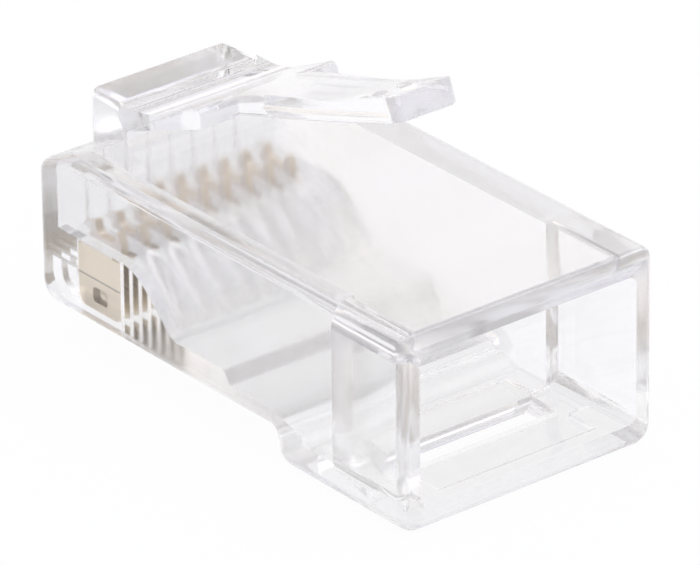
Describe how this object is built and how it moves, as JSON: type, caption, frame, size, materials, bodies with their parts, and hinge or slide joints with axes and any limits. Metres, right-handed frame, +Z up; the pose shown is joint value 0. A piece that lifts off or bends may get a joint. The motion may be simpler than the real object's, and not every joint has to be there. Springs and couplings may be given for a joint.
{
  "type": "modular plug",
  "caption": "Clear modular plug with a row of stamped contact blades, a flexing latch and an open cable cavity with a strain relief bar.",
  "frame": {"origin": "under the middle of the plug, on the plane of the rear pad that carries the strain relief", "axes": "+X from the nose towards the cable opening, +Z up to the latch, Y across the row of contacts"},
  "size_m": [0.0216, 0.0116, 0.0138],
  "materials": {
    "clear_moulding": "clear polycarbonate, polished mould",
    "contact_metal": "thin bright gold plating"
  },
  "bodies": {
    "housing_body": {"housing": "clear_moulding"},
    "latch_body": {"latch": "clear_moulding"},
    "contact_1_body": {"contact_1": "contact_metal"},
    "contact_2_body": {"contact_2": "contact_metal"},
    "contact_3_body": {"contact_3": "contact_metal"},
    "contact_4_body": {"contact_4": "contact_metal"},
    "contact_5_body": {"contact_5": "contact_metal"},
    "contact_6_body": {"contact_6": "contact_metal"},
    "contact_7_body": {"contact_7": "contact_metal"},
    "contact_8_body": {"contact_8": "contact_metal"}
  },
  "joints": [
    {"name": "latch_flex", "type": "hinge", "parent": "housing_body", "child": "latch_body", "pos_m": [-0.0084, 0, 0.0087], "axis": [0, 1, 0], "range_deg": [0, 15], "stiffness_Nm_per_rad": 0.12},
    {"name": "contact_1_crimp", "type": "slide", "parent": "housing_body", "child": "contact_1_body", "axis": [0, 0, 1], "range_m": [0, 0.0005]},
    {"name": "contact_2_crimp", "type": "slide", "parent": "housing_body", "child": "contact_2_body", "axis": [0, 0, 1], "range_m": [0, 0.0005]},
    {"name": "contact_3_crimp", "type": "slide", "parent": "housing_body", "child": "contact_3_body", "axis": [0, 0, 1], "range_m": [0, 0.0005]},
    {"name": "contact_4_crimp", "type": "slide", "parent": "housing_body", "child": "contact_4_body", "axis": [0, 0, 1], "range_m": [0, 0.0005]},
    {"name": "contact_5_crimp", "type": "slide", "parent": "housing_body", "child": "contact_5_body", "axis": [0, 0, 1], "range_m": [0, 0.0005]},
    {"name": "contact_6_crimp", "type": "slide", "parent": "housing_body", "child": "contact_6_body", "axis": [0, 0, 1], "range_m": [0, 0.0005]},
    {"name": "contact_7_crimp", "type": "slide", "parent": "housing_body", "child": "contact_7_body", "axis": [0, 0, 1], "range_m": [0, 0.0005]},
    {"name": "contact_8_crimp", "type": "slide", "parent": "housing_body", "child": "contact_8_body", "axis": [0, 0, 1], "range_m": [0, 0.0005]}
  ]
}
